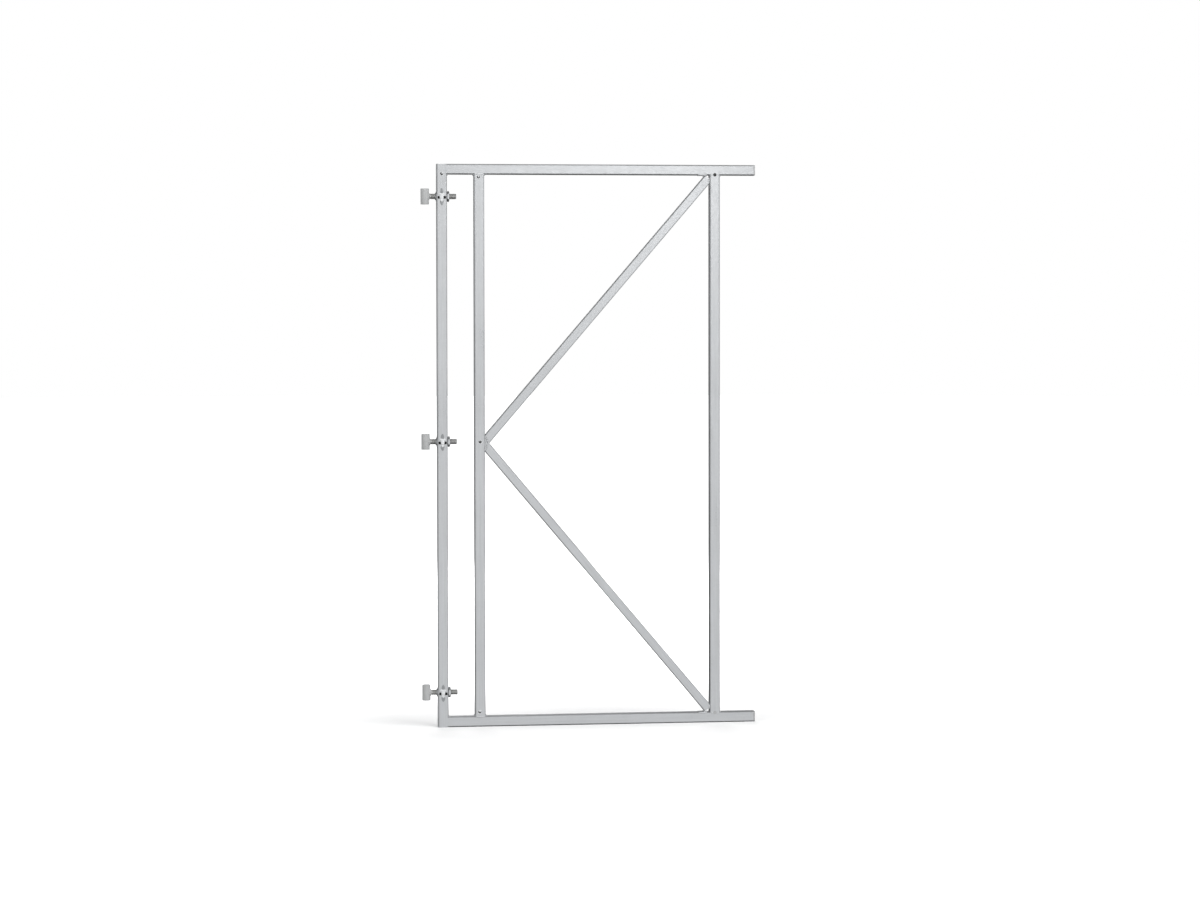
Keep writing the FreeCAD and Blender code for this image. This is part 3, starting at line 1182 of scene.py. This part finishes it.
def build_vents(palette: Palette) -> None:
    """Finish every vent hole: its zinc lip, and the disc inside it, near-black as painted shade except for
    the lower seam's zinc filling.

    Args:
        palette: The finishes.
    """
    post, stile = Box.of("hinge_post"), Box.of("inner_stile")
    base_z = Box.of("post_bottom_plate").low.z
    front_y = post.low.y
    holes = (
        ("post_vent_lip", post.centre.x, 1592.0, (1.4, 1.8), 2.3),
        ("stile_top_vent_lip", stile.centre.x - 1.5 * MM, 1583.0, (0.4, 1.6), 2.4),
        ("stile_middle_vent_lip", stile.centre.x + 1.0 * MM, 822.0, (-0.4, 3.2), 1.4),
        ("stile_bottom_vent_lip", stile.centre.x - 2.0 * MM, 43.0, (0.4, 2.2), 2.8),
    )
    for name, x, height, drop, radius in holes:
        centre = Vector((x, front_y, base_z + height * MM))
        fall = Vector((drop[0] * MM, 0.0, drop[1] * MM))
        VentLip(name, centre, fall, radius * MM, palette).build()
        # The near-black disc under the lip is painted shade inside the hole.
        VentFilling(name.replace("_lip", "_scale"), centre, 1.2 * MM, palette.bush).build()
    seam_x, inset = Box.of("outer_stile").centre.x, 1.5 * MM
    top = Vector((seam_x, front_y, Box.of("top_rail").low.z + inset))
    bottom = Vector((seam_x, front_y, Box.of("bottom_rail").high.z - inset))
    # Near-black disc in the upper seam vent as painted shade; zinc-grey filling in the lower one.
    VentFilling("upper_seam_vent_scale", top, 0.6 * MM, palette.bush).build()
    VentFilling("lower_seam_vent_zinc", bottom, 0.5 * MM, palette.eye).build()


@dataclass(frozen=True)
class RailCap:
    """Moulded cap pushed into a rail's free end."""

    rail: str
    palette: Palette
    tube_corner: float = 4.0 * MM
    rim: float = 0.7 * MM
    border: float = 2.2 * MM
    plug_inset: float = 2.1 * MM
    plug_wall: float = 2.2 * MM

    def build(self) -> None:
        """Shape the flange from a block, then draw the hollow plug out of its inner face."""
        node = f"{self.rail}_cap"
        box, rail = Box.of(node), Box.of(self.rail)
        size = Vector((box.high.x - rail.high.x, rail.size.y, rail.size.z))
        centre = Vector(((box.high.x + rail.high.x) / 2, rail.centre.y, rail.centre.z))
        builder = bmesh.new()
        block = Matrix.Translation(centre) @ Matrix.Diagonal((*size, 1.0))
        bmesh.ops.create_cube(builder, size=1.0, matrix=block)
        long_edges = [edge for edge in builder.edges if self.length_x(edge) > size.x / 2]
        soften(builder, long_edges, self.tube_corner, 8)
        rims = [edge for edge in builder.edges if self.length_x(edge) < SAME]
        soften(builder, rims, self.rim, 3)
        outer = max(builder.faces, key=lambda face: face.calc_center_median().x)
        inner = min(builder.faces, key=lambda face: face.calc_center_median().x)
        bmesh.ops.inset_region(builder, faces=[outer], thickness=self.border, depth=0.0)
        bmesh.ops.inset_region(builder, faces=[outer], thickness=0.8 * MM, depth=0.35 * MM)
        bmesh.ops.inset_region(builder, faces=[inner], thickness=self.plug_inset - self.rim, depth=0.0)
        plug = rail.high.x - box.low.x
        self.draw_out(builder, inner, -plug)
        builder.faces.ensure_lookup_table()
        inner = min(builder.faces, key=lambda face: face.calc_center_median().x)
        bmesh.ops.inset_region(builder, faces=[inner], thickness=self.plug_wall, depth=0.0)
        self.draw_out(builder, inner, plug)
        add_piece(builder, f"{self.rail}_end_cap", ROOT, self.palette.cap, [node], crease=35.0)

    @staticmethod
    def length_x(edge: BMEdge) -> float:
        """Measure an edge along X.

        Args:
            edge: The edge.

        Returns:
            The distance in X between its ends.
        """
        return abs(edge.verts[0].co.x - edge.verts[1].co.x)

    @staticmethod
    def draw_out(builder: BMesh, face: BMFace, distance: float) -> None:
        """Extrude one face along X.

        Args:
            builder: The shape.
            face: The face to extrude.
            distance: How far, with its sign.
        """
        grown = bmesh.ops.extrude_face_region(builder, geom=[face])["geom"]
        bmesh.ops.translate(builder, vec=(distance, 0.0, 0.0), verts=verts_of(grown))


# Studio


@dataclass(frozen=True)
class LightPatch:
    """A round patch of light in the surroundings; angles in degrees from its middle."""

    towards: tuple[float, float, float]
    core: float
    reach: float
    strength: float


@dataclass(frozen=True)
class Lamp:
    """A soft disk lamp; its place and aim are measured from the frame's middle."""

    name: str
    offset: tuple[float, float, float]
    aim: tuple[float, float, float]
    size: float
    power: float
    glossy: bool


@dataclass(frozen=True)
class Studio:
    """Pale floor and backdrop, soft light and the camera."""

    aim_offset: tuple[float, float, float] = (0.0325, 0.0, 0.1594)
    distance: float = 8.101
    azimuth: float = -6.627
    elevation: float = 1.712
    roll: float = -0.089
    lens: float = 84.0
    shift_y: float = -0.05
    floor_radius: float = 30.0
    floor_glow: float = 0.20
    gloom: float = 0.03
    patches: tuple[LightPatch, ...] = (
        LightPatch((0.48, -0.87, -0.04), 15.0, 42.0, 0.67),
        LightPatch((-0.30, -0.95, -0.04), 15.0, 42.0, 0.67),
        LightPatch((-0.25, -0.60, 0.76), 15.0, 42.0, 0.40),
        LightPatch((1.0, 0.0, -0.15), 22.0, 58.0, 0.60),
        LightPatch((-1.0, 0.0, -0.15), 20.0, 50.0, 0.55),
        LightPatch((0.0, 0.87, -0.50), 8.0, 24.0, 0.45),
        LightPatch((0.0, 0.0, 1.0), 15.0, 50.0, 0.30),
        LightPatch((0.0, 0.99, 0.14), 4.0, 13.0, 1.2),
    )
    lamps: tuple[Lamp, ...] = (
        Lamp("key", (3.9, -4.5, 3.2), (0.0, 0.0, 0.0), 6.0, 350.0, False),
        Lamp("fill", (-4.4, -2.4, 1.6), (0.0, 0.0, 0.0), 3.0, 80.0, False),
        Lamp("back_low", (-0.4, 4.5, 1.2), (0.0, 0.0, -0.8), 3.0, 120.0, False),
        Lamp("top_front", (0.55, -3.2, 1.15), (0.0, 0.0, 0.6), 1.0, 4.2, True),
    )

    def build(self) -> None:
        """Make the whole studio."""
        self.make_floor()
        self.make_backdrop()
        self.make_world()
        self.make_lights()
        self.make_camera()
        bpy.context.scene.view_settings.view_transform = "Standard"

    def make_floor(self) -> None:
        """Lay a pale floor that shows soft shadows."""
        builder = bmesh.new()
        bmesh.ops.create_circle(
            builder, cap_ends=True, segments=96, radius=self.floor_radius,
            matrix=Matrix.Translation((0.0, 0.0, CAD_BOX[0].z - 0.2 * MM)),
        )
        material = bpy.data.materials.new("floor_white")
        nodes = Nodes(material)
        place = nodes.add("ShaderNodeTexCoord").outputs["Object"]
        squeezed = nodes.add(
            "ShaderNodeMapping", {"vector_type": "POINT"}, Vector=place, Location=(-0.21, 0.0, 0.0),
            Scale=(0.45, 1.0, 1.0),
        ).outputs[0]
        reach = nodes.add("ShaderNodeVectorMath", {"operation": "LENGTH"}, Vector=squeezed).outputs["Value"]
        glow = nodes.add(
            "ShaderNodeMapRange", {"interpolation_type": "SMOOTHSTEP"}, Value=reach,
            From_Min=0.25, From_Max=0.95, To_Min=self.floor_glow, To_Max=1.0,
        ).outputs["Result"]
        shader = nodes.add(
            "ShaderNodeBsdfPrincipled", Base_Color=(0.9, 0.9, 0.9, 1.0), Roughness=0.9,
            Specular_IOR_Level=0.0, Emission_Color=(1.0, 1.0, 1.0, 1.0), Emission_Strength=glow,
        )
        nodes.finish(shader)
        floor = self.stage_object(builder, "floor", material)
        floor.visible_glossy = False
        floor.visible_diffuse = False

    def make_backdrop(self) -> None:
        """Close the view with a plain white dome that lights nothing."""
        builder = bmesh.new()
        bmesh.ops.create_uvsphere(builder, u_segments=48, v_segments=24, radius=self.floor_radius)
        bmesh.ops.reverse_faces(builder, faces=builder.faces)
        material = bpy.data.materials.new("backdrop_white")
        nodes = Nodes(material)
        shader = nodes.add("ShaderNodeEmission", Color=(1.0, 1.0, 1.0, 1.0), Strength=1.0)
        nodes.finish(shader)
        dome = self.stage_object(builder, "backdrop", material)
        dome.visible_glossy = False
        dome.visible_diffuse = False
        dome.visible_shadow = False
        dome.visible_transmission = False

    @staticmethod
    def stage_object(builder: BMesh, name: str, material: Material) -> Object:
        """Make an object that belongs to the studio, not to the gate frame.

        Args:
            builder: Its geometry, which is freed.
            name: Its name.
            material: Its finish.

        Returns:
            The new object.
        """
        mesh = bpy.data.meshes.new(name)
        builder.to_mesh(mesh)
        builder.free()
        mesh.materials.append(material)
        thing = bpy.data.objects.new(name, mesh)
        bpy.context.scene.collection.objects.link(thing)
        return thing

    def make_world(self) -> None:
        """Surround the frame with darkness and a few broad soft patches of light."""
        world = bpy.data.worlds.new("studio")
        bpy.context.scene.world = world
        nodes = Nodes(world)
        direction = nodes.add("ShaderNodeTexCoord").outputs["Generated"]
        total: object = self.gloom
        for patch in self.patches:
            closeness = nodes.add("ShaderNodeVectorMath", {"operation": "DOT_PRODUCT"}, Vector=direction)
            closeness.inputs[1].default_value = Vector(patch.towards).normalized()
            edge = nodes.add(
                "ShaderNodeMapRange", {"interpolation_type": "SMOOTHSTEP"},
                Value=closeness.outputs["Value"],
                From_Min=math.cos(math.radians(patch.reach)), From_Max=math.cos(math.radians(patch.core)),
            ).outputs["Result"]
            total = nodes.math("MULTIPLY_ADD", edge, patch.strength, total)
        sky = nodes.add("ShaderNodeBackground", Color=(0.98, 0.99, 1.0, 1.0), Strength=total)
        nodes.finish(sky, "ShaderNodeOutputWorld")

    def make_lights(self) -> None:
        """Hang every lamp, out of the camera's sight."""
        centre = (CAD_BOX[0] + CAD_BOX[1]) / 2.0
        for lamp in self.lamps:
            data = bpy.data.lights.new(lamp.name, "AREA")
            data.shape = "DISK"
            data.size = lamp.size
            data.energy = lamp.power
            light = bpy.data.objects.new(lamp.name, data)
            light.location = centre + Vector(lamp.offset)
            aim = centre + Vector(lamp.aim)
            light.rotation_euler = (aim - light.location).to_track_quat("-Z", "Y").to_euler()
            light.visible_camera = False
            light.visible_glossy = lamp.glossy
            bpy.context.scene.collection.objects.link(light)

    def make_camera(self) -> None:
        """Place the camera at the chosen angle and aim."""
        centre = (CAD_BOX[0] + CAD_BOX[1]) / 2.0 + Vector(self.aim_offset)
        azimuth, elevation = math.radians(self.azimuth), math.radians(self.elevation)
        level = math.cos(elevation)
        back = Vector((math.sin(azimuth) * level, -math.cos(azimuth) * level, math.sin(elevation)))
        data = bpy.data.cameras.new("camera")
        data.lens = self.lens
        data.sensor_width = 36.0
        data.shift_y = self.shift_y
        data.clip_end = 200.0
        camera = bpy.data.objects.new("camera", data)
        camera.location = centre + back * self.distance
        roll = Matrix.Rotation(math.radians(self.roll), 4, "Z").to_quaternion()
        camera.rotation_euler = ((-back).to_track_quat("-Z", "Y") @ roll).to_euler()
        bpy.context.scene.collection.objects.link(camera)
        bpy.context.scene.camera = camera


def main() -> None:
    """Build the finishes, the pieces and the studio, in that order."""
    logging.basicConfig(level=logging.INFO, format="%(name)s: %(message)s")
    palette = Palette.make()
    TubeFrame(palette).build()
    FrameWelds(palette).build()
    for name in HINGES:
        HingeEye(name, palette).build()
    build_vents(palette)
    for rail in ("top_rail", "bottom_rail"):
        RailCap(rail, palette).build()
    Studio().build()


if __name__ == "__main__":
    main()
